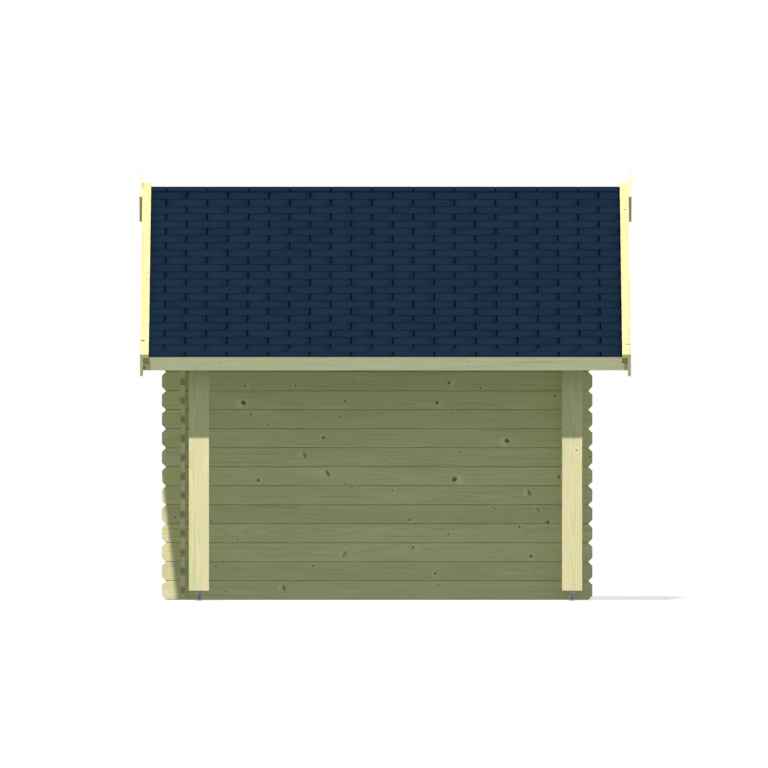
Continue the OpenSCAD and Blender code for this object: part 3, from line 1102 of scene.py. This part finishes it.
@dataclass
class ShingleSlope:
    """Courses of slotted shingle tabs on one slope, each lying on the one below."""

    roof: RoofFrame
    side: Side
    end: float
    first: float
    shift: int
    seed: int
    row: TabRow = TabRow()
    exposure: float = 0.1081
    overlap: float = 0.014
    columns: int = 5
    rows_down: tuple[float, ...] = (0.0, 0.5, 0.86, 1.0)
    last_gap: float = 0.02
    thickness: float = 0.0016
    fall: float = 0.0018
    lift: float = 0.0006
    ripple: float = 0.0003
    ripple_turn: float = 9.0
    ripple_shift: float = 40.0
    uneven: float = 0.0012
    tones: Span = (0.25, 1.0)
    underlay_t: float = 0.0006
    underlay_short: float = 0.001
    margin_top: float = 0.0309
    margin_tone: float = 0.3
    lip: Span = (0.0001, 0.0006)
    lip_heights: Span = (-0.0018, 0.0012)

    @property
    def half_width(self) -> float:
        """Half length of the courses, which end at the cover strips."""
        return self.roof.half_inner - self.roof.clearance

    def edges(self) -> Array:
        """Lower edges of the courses, from the ridge down to the eave."""
        return np.append(np.arange(self.first, self.end - self.last_gap, self.exposure), self.end)

    def tabs(self) -> Shell:
        """Lays the tabs.

        A tab's upper surface falls evenly from its lower edge to the covered end, so that the next course up
        lies on it, and ripples with a sine across it. Its sides stand half a slot back, and each tab is
        lifted and shaded a little by chance.

        Returns:
            Every tab of the slope as a thin slab.
        """
        rng = np.random.default_rng(self.seed)
        lower = self.edges()
        count = int(2 * self.half_width / self.row.tab) + 3
        k, i = np.meshgrid(np.arange(len(lower)), np.arange(count), indexing="ij")
        left = self.row.slot_at + self.row.tab * (i - count // 2 + 0.5 * ((k + self.shift) % 2))
        x0, x1, kept = self.row.cut(left.ravel(), self.half_width)
        x0, x1, u1 = x0[kept], x1[kept], lower[k].ravel()[kept]
        lift = rng.uniform(0.0, self.lift, len(x0))
        off = rng.uniform(-self.uneven, self.uneven, len(x0))
        u1 = u1 + np.where(u1 < self.end - self.uneven, off, 0.0)
        across = np.linspace(0.0, 1.0, self.columns)[None, None]
        down = np.array(self.rows_down)[None, :, None]
        x = x0[:, None, None] + (x1 - x0)[:, None, None] * across
        u = u1[:, None, None] - (1.0 - down) * (self.exposure + self.overlap)
        phase = self.ripple_shift * lift[:, None, None] / self.lift
        wave = self.ripple * np.sin(self.ripple_turn * across + phase)
        top = self.roof.board + self.roof.shingle
        v = top - self.fall * (1.0 - down) + (lift[:, None, None] + wave) * down
        upper = self.roof.at(self.side, x, u, v)
        under = self.roof.at(self.side, x, u, np.maximum(v - self.thickness, self.roof.board))
        if self.side is Side.FAR:
            upper, under = upper[:, :, ::-1], under[:, :, ::-1]
        return slabs(upper[:, ::-1], under[:, ::-1], rng.uniform(*self.tones, len(x0)))

    def underlay(self) -> Shell:
        """Lays the dark sheet of painted shade that shows in the slots, a lip of it turned down at the eave
        as painted shade along the eave's edge, and the margins.

        Returns:
            The layer, its lip and the margins under the cover strips.
        """
        base, half = self.roof.board, self.half_width
        margin = self.roof.half_boards - self.roof.clearance
        x = np.array([[-half, half], [-margin, -half], [half, margin]])[:, [0, 1, 1, 0]]
        tops = np.array([base + self.underlay_t, self.margin_top, self.margin_top])
        v = np.stack([np.full(3, base), np.full(3, base), tops, tops], -1)
        tones = np.array([0.0, self.margin_tone, self.margin_tone])
        sheets = self.roof.run(self.side, x, self.end - self.underlay_short, v, tones)
        # Lip of painted shade along the eave's edge.
        low, high = (base + height for height in self.lip_heights)
        start, end = (
            self.roof.at(self.side, x[:1], self.end + place, np.array([[low, low, high, high]]))
            for place in self.lip
        )
        lip = prisms(*((end, start) if self.side is Side.CANOPY else (start, end)), np.zeros(1))
        return Shell.joined([sheets, lip])

    def build(self, finish: bpy.types.Material) -> None:
        """Makes the covering of the slope in a finish."""
        piece = Shell.joined([self.tabs(), self.underlay()]).to_object(f"{self.side.tag}_shingle_tabs")
        settle(piece, Slot.SHINGLE, finish, f"{self.side.tag}_shingles")


@dataclass
class RidgeShingles:
    """Shingle pieces bent over the ridge, one beside the other."""

    roof: RoofFrame
    row: TabRow = TabRow()
    reach: float = 0.0455
    top: float = 0.0314
    base: float = 0.0213
    sheet: float = 0.0011
    bend: float = 0.008
    crowding: float = 1.6
    joint_depth: float = 0.0012
    rows: int = 17
    columns: int = 3
    tones: Span = (0.3, 1.0)
    smooth: float = 30.0
    seed: int = 11

    def strip(self, x0: Array, x1: Array, inset: float, tone: Array) -> Shell:
        """Strips bent over the ridge, whose edges lie on the slopes and whose middle stands off them.

        The height over the slopes falls from the top at the ridge to the sheet's thickness at the edge, with
        the square of the way. The bend rounds the ridge as the root of the squared way plus its own square.

        Args:
            x0: start of each strip along the ridge.
            x1: end of each strip.
            inset: depth of the upper face and of the edges under those of a piece.
            tone: one tone for each strip.

        Returns:
            The strips as closed slabs.
        """
        p = self.roof.pitch
        way = np.linspace(-1.0, 1.0, self.rows)
        way = (np.sign(way) * np.abs(way) ** self.crowding)[None, :, None]
        share = np.linspace(0.0, 1.0, self.columns)[None, None]
        x = x0[:, None, None] + (x1 - x0)[:, None, None] * share
        flat = np.zeros_like(x) + way * (self.reach - inset) * math.cos(p)
        edge = self.base + self.sheet
        arch = edge + (self.top - edge) * (1.0 - way ** 2) - inset

        def layer(v: Array) -> Array:
            """Points of one face of the strips.

            Args:
                v: heights over the slopes.

            Returns:
                The points, with a last axis of 3.
            """
            y = flat + np.sign(flat) * v * math.sin(p)
            fall = (np.sqrt(y * y + self.bend ** 2) - self.bend) * math.tan(p)
            z = self.roof.ridge_z + v / math.cos(p) - fall
            return np.stack([np.broadcast_to(x, y.shape), self.roof.ridge_y + y, z], -1)

        return slabs(layer(arch)[:, ::-1], layer(np.full_like(arch, self.base))[:, ::-1], tone)

    def build(self, finish: bpy.types.Material) -> None:
        """Makes the ridge pieces and a dark sheet of painted shade in their joints.

        Args:
            finish: material of the shingles.
        """
        rng = np.random.default_rng(self.seed)
        half = self.roof.half_inner - self.roof.clearance
        count = math.ceil(half / self.row.tab) + 2
        x0, x1, kept = self.row.cut(self.row.slot_at + self.row.tab * np.arange(-count, count), half)
        pieces = self.strip(x0[kept], x1[kept], 0.0, rng.uniform(*self.tones, kept.sum()))
        # Dark sheet of painted shade under the joints between ridge pieces.
        under = self.strip(np.array([-half]), np.array([half]), self.joint_depth, np.zeros(1))
        piece = Shell.joined([pieces, under]).to_object("ridge_shingle_tabs", self.smooth)
        settle(piece, Slot.SHINGLE, finish, "ridge_shingles")


@dataclass
class RoofBoards:
    """Boards from the ridge to an eave, chamfered below so that each joint shows as a small V."""

    roof: RoofFrame
    side: Side
    wood_seed: float
    count: int = 33
    chamfer: float = 0.0035
    gap: float = 0.0001

    def build(self, wood: TreatedWood) -> None:
        """Makes the boards of one slope, cut upright at the ridge and square at the eave.

        Args:
            wood: finish of the boards.
        """
        half = self.roof.half_boards
        edge = np.linspace(-half, half, self.count + 1)
        x0, x1 = edge[:-1] + self.gap, edge[1:] - self.gap
        c, t = self.chamfer, self.roof.board
        x = np.stack([x0 + c, x1 - c, x1, x1, x0, x0], -1)
        v = np.broadcast_to(np.array([0.0, 0.0, c, t, t, c]), x.shape)
        boards = self.roof.run(self.side, x, self.roof.ends[self.side], v, np.full(self.count, PLAIN_TONE))
        lay = Lay(
            Grain.SLOPE_FLAT,
            tilt=self.side.value * self.roof.pitch,
            course=2 * half / self.count,
            start=-half,
            seed=self.wood_seed,
        )
        node = f"{self.side.tag}_roof_boards"
        piece = boards.to_object(f"{self.side.tag}_roof_board_run")
        settle(piece, Slot.BOARD, wood.material(f"wood_{node}", lay), node)


@dataclass
class FootThread:
    """Screw thread on the open length of a post foot's rod."""

    end: str
    low: float = 0.008
    high: float = 0.043
    core: float = 0.0100
    crest: float = 0.0109
    pitch: float = 0.0025
    segments: int = 32
    stations: int = 113
    smooth: float = 40.0

    def build(self, finish: bpy.types.Material) -> None:
        """Makes the thread: the radius rises and falls with the height less the turn, once in each pitch.

        Args:
            finish: material of the rod.
        """
        low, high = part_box(f"{self.end}_post_foot")
        turn = np.linspace(0.0, 2 * np.pi, self.segments, endpoint=False)
        z = np.linspace(self.low, self.high, self.stations)[:, None]
        wave = np.abs(((z / self.pitch - turn / (2 * np.pi)) % 1.0) * 2.0 - 1.0)
        r = self.core + (self.crest - self.core) * wave
        x = (low[0] + high[0]) / 2 + r * np.cos(turn)
        y = (low[1] + high[1]) / 2 + r * np.sin(turn)
        points = np.stack([x, y, np.broadcast_to(z, r.shape)], -1).reshape(-1, 3)
        ring = np.arange(self.segments)[None]
        faces = [
            grid_faces(self.stations, self.segments, wrap=True),
            ring[:, ::-1],
            len(points) - self.segments + ring,
        ]
        thread = Shell(points, faces, np.full(len(points), PLAIN_TONE))
        settle(thread.to_object(f"{self.end}_foot_thread", self.smooth), Slot.STEEL, finish)


@dataclass
class DoorHandle:
    """Lever handle on a long plate with a lock below it, on the leaf with the active edge."""

    plate_width: float = 0.036
    plate_low: float = -0.095
    plate_high: float = 0.055
    plate: float = 0.003
    reach: float = 0.047
    lever: float = 0.118
    lever_middle: float = 0.6
    bend: float = 0.014
    neck: float = 0.006
    root_radius: float = 0.008
    tip_radius: float = 0.0065
    oval: float = 1.15
    rose_radius: float = 0.0125
    rose_height: float = 0.005
    lock_drop: float = 0.06
    round_points: int = 13
    bend_points: int = 9
    smooth: float = 35.0

    def build(self, finish: bpy.types.Material) -> None:
        """Makes the plate with half-round ends, the lever and the lock.

        The lever leaves the plate square to it and turns along the leaf on a quarter circle.

        Args:
            finish: material of the handle.
        """
        half = self.plate_width / 2
        face, low_y, low_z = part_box("door_handle")[0]
        y, z = low_y + half, low_z - self.plate_low
        turn = np.linspace(0.0, np.pi, self.round_points)
        outline_y = y + half * np.concatenate([np.cos(turn), -np.cos(turn)])
        rounds = (self.plate_high - half + half * np.sin(turn), self.plate_low + half - half * np.sin(turn))
        outline_z = z + np.concatenate(rounds)
        flat = np.stack([np.full(len(outline_y), face), outline_y, outline_z], -1)[None]
        plate = prisms(flat, flat + np.array([self.plate, 0.0, 0.0]), np.full(1, PLAIN_TONE))
        quarter = np.linspace(0.0, np.pi / 2, self.bend_points)
        start = self.reach - self.bend
        inner = [0.0, start - self.neck]
        outer = [self.lever_middle * self.lever, self.lever]
        path_x = np.concatenate([inner, start + self.bend * np.sin(quarter), [self.reach] * 2])
        path_y = np.concatenate([[0.0] * 2, self.bend * (1.0 - np.cos(quarter)), outer])
        path = np.stack([face + path_x, y + path_y, np.full(len(path_x), z)], -1)
        size = np.linspace(self.root_radius, self.tip_radius, len(path_x))
        lever = tube(path, size, size * self.oval)
        spots = np.array([[face + self.plate, y, z], [face + self.plate, y, z - self.lock_drop]])
        roses = domes(spots, (1, 0, 0), self.rose_radius, self.rose_height)
        piece = Shell.joined([plate, lever, roses]).to_object("door_lever", self.smooth)
        settle(piece, Slot.STEEL, finish, "door_handle")


@dataclass
class Fixings:
    """Heads of the nails and bolts that hold the roof edges and the hinges.

    The middle hinge is given by its share of the way from the lowest hinge up to the highest.
    """

    roof: RoofFrame
    nail_radius: float = 0.0035
    nail_height: float = 0.0008
    strip_first: float = 0.09
    strip_last: float = 0.03
    strip_pitch: float = 0.22
    strip_stagger: float = 0.012
    barge_first: float = 0.35
    barge_last: float = 0.05
    barge_pitch: float = 0.42
    barge_heights: Span = (-0.055, 0.005)
    bolt_radius: float = 0.0065
    bolt_height: float = 0.0032
    strap_t: float = 0.003
    plate_half: float = 0.040
    middle_hinge: float = 0.4863
    plate_bolt: Span = (0.013, 0.026)
    strap_bolts: tuple[float, ...] = (0.07, 0.15, 0.235)
    smooth: float = 50.0

    def cover_nails(self) -> Shell:
        """Sets nails in two staggered rows down each cover strip.

        Returns:
            Their heads.
        """
        middle = (self.roof.half_inner + self.roof.half_outer) / 2
        parts = []
        for side, end in self.roof.ends.items():
            u = np.arange(self.strip_first, end + self.roof.tail - self.strip_last, self.strip_pitch)
            x = middle + self.strip_stagger * np.where(np.arange(len(u)) % 2, 1, -1)
            for sign in (-1, 1):
                spots = self.roof.at(side, sign * x, u, self.roof.strip_top)
                parts.append(domes(spots, self.roof.outward(side), self.nail_radius, self.nail_height))
        return Shell.joined(parts)

    def barge_nails(self) -> Shell:
        """Sets pairs of nails into the outer faces of the bargeboards.

        Returns:
            Their heads.
        """
        parts = []
        for side, end in self.roof.ends.items():
            rows = np.arange(self.barge_first, end + self.roof.tail - self.barge_last, self.barge_pitch)
            u, v = np.meshgrid(rows, np.array(self.barge_heights))
            for sign in (-1, 1):
                spots = self.roof.at(side, sign * self.roof.half_outer, u.ravel(), v.ravel())
                parts.append(domes(spots, (sign, 0, 0), self.nail_radius, self.nail_height))
        return Shell.joined(parts)

    def hinge_bolts(self) -> Shell:
        """Sets bolts through the straps and plates of the hinges, which lie on the rails of the leaves.

        Returns:
            Their round heads.
        """
        low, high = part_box("door_hinges")
        middle, out = (low[1] + high[1]) / 2, (high[1] - low[1]) / 2
        bottom, top = low[2] + self.plate_half, high[2] - self.plate_half
        heights = (bottom, bottom + (top - bottom) * self.middle_hinge, top)
        inward, apart = self.plate_bolt
        heads = [(inward, apart), (inward, -apart)] + [(place, 0.0) for place in self.strap_bolts]
        spots = [
            [low[0] + self.strap_t, middle + sign * (out - place), height + rise]
            for sign in (-1, 1)
            for height in heights
            for place, rise in heads
        ]
        return domes(np.array(spots), (1, 0, 0), self.bolt_radius, self.bolt_height)

    def build(self, finish: bpy.types.Material) -> None:
        """Makes the three groups of heads.

        Args:
            finish: material of the heads.
        """
        for name, shell in (
            ("cover_strip_nails", self.cover_nails()),
            ("bargeboard_nails", self.barge_nails()),
            ("hinge_bolts", self.hinge_bolts()),
        ):
            settle(shell.to_object(name, self.smooth), Slot.STEEL, finish)


@dataclass(frozen=True)
class Batch:
    """Wooden CAD nodes that are laid alike, with the seed of the first one and the step to the next one's."""

    nodes: tuple[str, ...]
    grain: Grain
    seed: float
    step: float = 1.0
    wood: TreatedWood = PLANED
    tilt: Tilt = Tilt.NONE
    coursed: bool = False
    half_log: bool = False
    flat_rings: bool = False
    square: bool = False
    panelled: bool = False


def edge_nodes(what: str) -> tuple[str, ...]:
    """Names of the four nodes of one kind along the roof's edges."""
    return tuple(f"{side.tag}_{end}_{what}" for side in Side for end in ("back", "front"))


WALL_BATCHES = (
    Batch(("canopy_side_wall", "far_side_wall"), Grain.RIDGE, 0.0, 50.0, WALL_LOG, coursed=True),
    Batch(
        (
            "back_gable_wall",
            "back_gable_panel",
            "front_sill_log",
            "front_wall_canopy_side",
            "front_wall_far_side",
            "front_gable_panel",
        ),
        Grain.DEPTH, 130.0, 40.0, WALL_LOG, coursed=True, half_log=True,
    ),
)
ROOF_BATCHES = (
    Batch(("ridge_purlin", "canopy_side_purlin", "far_side_purlin", "canopy_beam"), Grain.RIDGE, 400.0),
    Batch(
        ("canopy_fascia", "far_fascia"), Grain.RIDGE, 410.0, wood=PAINTED_LIGHT_EAVE_BOARD, tilt=Tilt.SLOPE, flat_rings=True
    ),
    Batch(("back_post", "front_post"), Grain.UPRIGHT, 420.0, square=True),
    Batch(edge_nodes("bargeboard"), Grain.DEPTH, 430.0, 2.0, tilt=Tilt.SLOPE),
    Batch(edge_nodes("cover_strip"), Grain.SLOPE_FLAT, 431.0, 2.0, PAINTED_SHADE_COVER_STRIP, Tilt.SLOPE),
    Batch(("canopy_verge_battens", "far_verge_battens"), Grain.DEPTH, 438.0, tilt=Tilt.SLOPE),
    Batch(("back_gable_plaque", "front_gable_plaque"), Grain.DEPTH, 450.0, tilt=Tilt.CORNER),
)
DOOR_BATCHES = (
    Batch(("door_jamb_canopy_side", "door_jamb_far_side"), Grain.UPRIGHT_LEAF, 460.0, 30.0),
    Batch(("door_leaf_canopy_side", "door_leaf_far_side"), Grain.UPRIGHT_LEAF, 520.0, 30.0, panelled=True),
    Batch(("door_meeting_strip",), Grain.UPRIGHT_LEAF, 580.0),
    Batch(("door_head", "door_sill"), Grain.DEPTH, 470.0),
)


@dataclass
class Timber:
    """CAD nodes of wood, dressed where they are."""

    roof: RoofFrame
    batches: tuple[Batch, ...] = WALL_BATCHES + ROOF_BATCHES + DOOR_BATCHES
    course: float = 0.114
    joint: float = 0.0042

    def dress(self, nodes: dict[str, bpy.types.Object]) -> None:
        """Gives each wooden node its finish.

        Args:
            nodes: CAD objects by name.
        """
        for batch in self.batches:
            for number, name in enumerate(batch.nodes):
                lay = self.lay(batch, name, batch.seed + number * batch.step)
                dress_node(nodes[name], batch.wood.material(f"wood_{name}", lay))

    def lay(self, batch: Batch, node: str, seed: float) -> Lay:
        """Lay of the boards in one node.

        Logs lie in courses from the ground up, and those of the gable walls start on half a log. Single
        boards start at their own middle. Flat rings have their pith far from the board.

        Args:
            batch: what the node has in common with others.
            node: name of the node.
            seed: start of its luck.

        Returns:
            The lay.
        """
        tilt = self._tilt(batch.tilt, node)
        _, through, across = batch.grain.value
        middle = 0.0 if batch.flat_rings else self._middle(node, through, tilt)
        if batch.coursed:
            return Lay(
                batch.grain,
                course=self.course,
                start=-self.course / 2 if batch.half_log else 0.0,
                middle=middle,
                seed=seed,
                joint=self.joint,
            )
        return Lay(
            batch.grain,
            tilt=tilt,
            start=self._middle(node, across, tilt),
            middle=middle,
            seed=seed,
            square=batch.square,
            panel=Panel.of_leaf(node) if batch.panelled else None,
        )

    def _tilt(self, tilt: Tilt, node: str) -> float:
        """Angle about X that brings a node level."""
        down = self.roof.pitch * (Side.CANOPY if node.startswith(Side.CANOPY.tag) else Side.FAR).value
        return {Tilt.NONE: 0.0, Tilt.SLOPE: down, Tilt.CORNER: math.pi / 4}[tilt]

    @staticmethod
    def _middle(node: str, axis: int, tilt: float) -> float:
        """Tilts the middle of a node's box about X.

        Args:
            node: name of the node.
            axis: number of the axis.
            tilt: the angle.

        Returns:
            The middle's place on the axis.
        """
        x, y, z = ((low + high) / 2 for low, high in zip(*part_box(node)))
        cos, sin = math.cos(tilt), math.sin(tilt)
        return (x, y * cos - z * sin, y * sin + z * cos)[axis]


def dress_node(node: bpy.types.Object, material: bpy.types.Material) -> None:
    """Puts a material into every slot of a CAD node.

    Args:
        node: the CAD node's object.
        material: its finish.
    """
    if not node.material_slots:
        node.data.materials.append(material)
    for place in node.material_slots:
        place.material = material
    LOG.info("node %s: %s", node.name, material.name)


@dataclass
class Studio:
    """Plain pale floor, one high key lamp, an even sky and the camera."""

    sun_travel: tuple[float, float, float] = (0.235, 1.0, -1.6)
    sun: float = 3.98
    sun_angle: float = math.radians(1.3)
    sun_colour: Colour = (1.0, 0.89, 0.865)
    sky_low: float = 0.53
    sky_high: float = 0.16
    sky_colour: Colour = (0.86, 1.0, 0.94)
    sky_fade: Span = (0.2, 0.85)
    white: Colour = (1.0, 1.0, 1.0)
    floor_radius: float = 9.0
    floor_segments: int = 64
    floor_greys: Span = (0.93, 0.95)
    floor_specks: float = 30.0
    floor_roughness: float = 0.9
    floor_pass: float = 0.42
    floor_glow: float = 0.7
    lens: float = 1700.0
    sensor: float = 36.0
    frame_width: float = 4.608
    clip_near: float = 20.0
    clip_far: float = 40.0
    look_at: tuple[float, float, float] = (-0.0089, -0.7, 1.2944)

    def build(self) -> None:
        """Sets up the stage, the lamp, the world and the camera."""
        bpy.context.scene.view_settings.view_transform = "Standard"
        self._floor()
        self._world()
        self._key()
        self._camera()

    def _key(self) -> None:
        """High lamp in front of the canopy side, a little to the left."""
        lamp = bpy.data.lights.new("key", "SUN")
        lamp.energy = self.sun
        lamp.angle = self.sun_angle
        lamp.color = self.sun_colour
        key = bpy.data.objects.new("key", lamp)
        key.rotation_euler = Vector(self.sun_travel).to_track_quat("-Z", "Y").to_euler()
        bpy.context.scene.collection.objects.link(key)

    def _floor(self) -> None:
        """Round floor that lets a share of the light through, as a light table does.

        The camera and mirrors see paper, one share of which glows white and the other takes light and shadow.
        """
        turn = np.linspace(0, 2 * np.pi, self.floor_segments, endpoint=False)
        points = self.floor_radius * np.stack([np.cos(turn), np.sin(turn), np.zeros_like(turn)], -1)
        floor = Shell(points, [np.arange(len(turn))[None]], np.zeros_like(turn)).to_object("floor")
        g = Surface("floor_paper")
        dull, light = ((grey,) * 3 for grey in self.floor_greys)
        g.look("Base Color", g.blend(g.noise(g.coordinate(), self.floor_specks), dull, light))
        g.look("Roughness", self.floor_roughness)
        g.look("Specular IOR Level", 0.0)
        through = g.fed(g.add("ShaderNodeBsdfTransparent"), (self.floor_pass,) * 3)
        glow = g.fed(g.add("ShaderNodeEmission"), self.white)
        paper = g.overlaid(self.floor_glow, Value(g, g.shader.outputs[0]), glow)
        g.join(g.overlaid(self._seen(g), through, paper), g.output.inputs["Surface"])
        floor.data.materials.append(g.material)

    @staticmethod
    def _seen(g: Graph) -> Value:
        """Tells what the camera, mirrors and glass see from light on its way.

        Args:
            g: graph to add to.

        Returns:
            1 for what is seen, and 0 for light on its way.
        """
        path = g.add("ShaderNodeLightPath")
        seen = Value(g, path.outputs["Is Camera Ray"])
        for name in ("Is Glossy Ray", "Is Transmission Ray"):
            seen = seen.apply("MAXIMUM", Value(g, path.outputs[name]))
        return seen

    def _world(self) -> None:
        """Soft light all round that fades upwards, which the camera and mirrors see as white."""
        world = bpy.data.worlds.new("studio")
        bpy.context.scene.world = world
        g = Graph(world)
        up = g.parts(g.coordinate("Generated"), "XYZ")[2]
        fade = g.fed(g.add("ShaderNodeMapRange"), up, *self.sky_fade, self.sky_low, self.sky_high)
        sky = g.fed(g.add("ShaderNodeBackground"), self.sky_colour, fade)
        backdrop = g.fed(g.add("ShaderNodeBackground"), self.white)
        out = g.add("ShaderNodeOutputWorld")
        g.join(g.overlaid(self._seen(g), sky, backdrop), out.inputs["Surface"])

    def _camera(self) -> None:
        """Camera square to the canopy side, far away with a long lens, as an elevation drawing shows it."""
        data = bpy.data.cameras.new("camera")
        data.lens = self.lens
        data.sensor_width = self.sensor
        away = self.frame_width * self.lens / self.sensor
        data.clip_start, data.clip_end = away - self.clip_near, away + self.clip_far
        camera = bpy.data.objects.new("camera", data)
        camera.location = (self.look_at[0], self.look_at[1] - away, self.look_at[2])
        camera.rotation_euler = (math.pi / 2, 0.0, 0.0)
        bpy.context.scene.collection.objects.link(camera)
        bpy.context.scene.camera = camera


@dataclass
class GardenHouse:
    """The whole house: CAD nodes dressed in place and the pieces that are added to them."""

    nodes: dict[str, bpy.types.Object]
    steel_nodes: tuple[str, ...] = ("door_hinges", "back_post_foot", "front_post_foot")
    canopy_first: float = 0.1526
    far_courses: int = 13
    canopy_board_seed: float = 500.0
    far_board_seed: float = 560.0

    def build(self) -> None:
        """Builds and dresses every part of the house."""
        roof = RoofFrame.from_cad()
        Timber(roof).dress(self.nodes)
        bitumen = Bitumen().material("bitumen_shingle")
        steel = Galvanised().material("galvanised_steel")
        for name in self.steel_nodes:
            dress_node(self.nodes[name], steel)
        canopy_end, far_end = (end + roof.fascia for end in roof.ends.values())
        far_first = far_end - self.far_courses * ShingleSlope.exposure
        ShingleSlope(roof, Side.CANOPY, canopy_end, self.canopy_first, shift=1, seed=7).build(bitumen)
        ShingleSlope(roof, Side.FAR, far_end, far_first, shift=0, seed=8).build(bitumen)
        RidgeShingles(roof).build(bitumen)
        RoofBoards(roof, Side.CANOPY, self.canopy_board_seed).build(PLANED)
        RoofBoards(roof, Side.FAR, self.far_board_seed).build(PLANED)
        for end in ("back", "front"):
            FootThread(end).build(steel)
        DoorHandle().build(steel)
        Fixings(roof).build(steel)


def main() -> None:
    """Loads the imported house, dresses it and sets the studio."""
    logging.basicConfig(level=logging.INFO, format="%(name)s: %(message)s")
    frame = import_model()
    GardenHouse(frame["nodes"]).build()
    Studio().build()


if __name__ == "__main__":
    main()
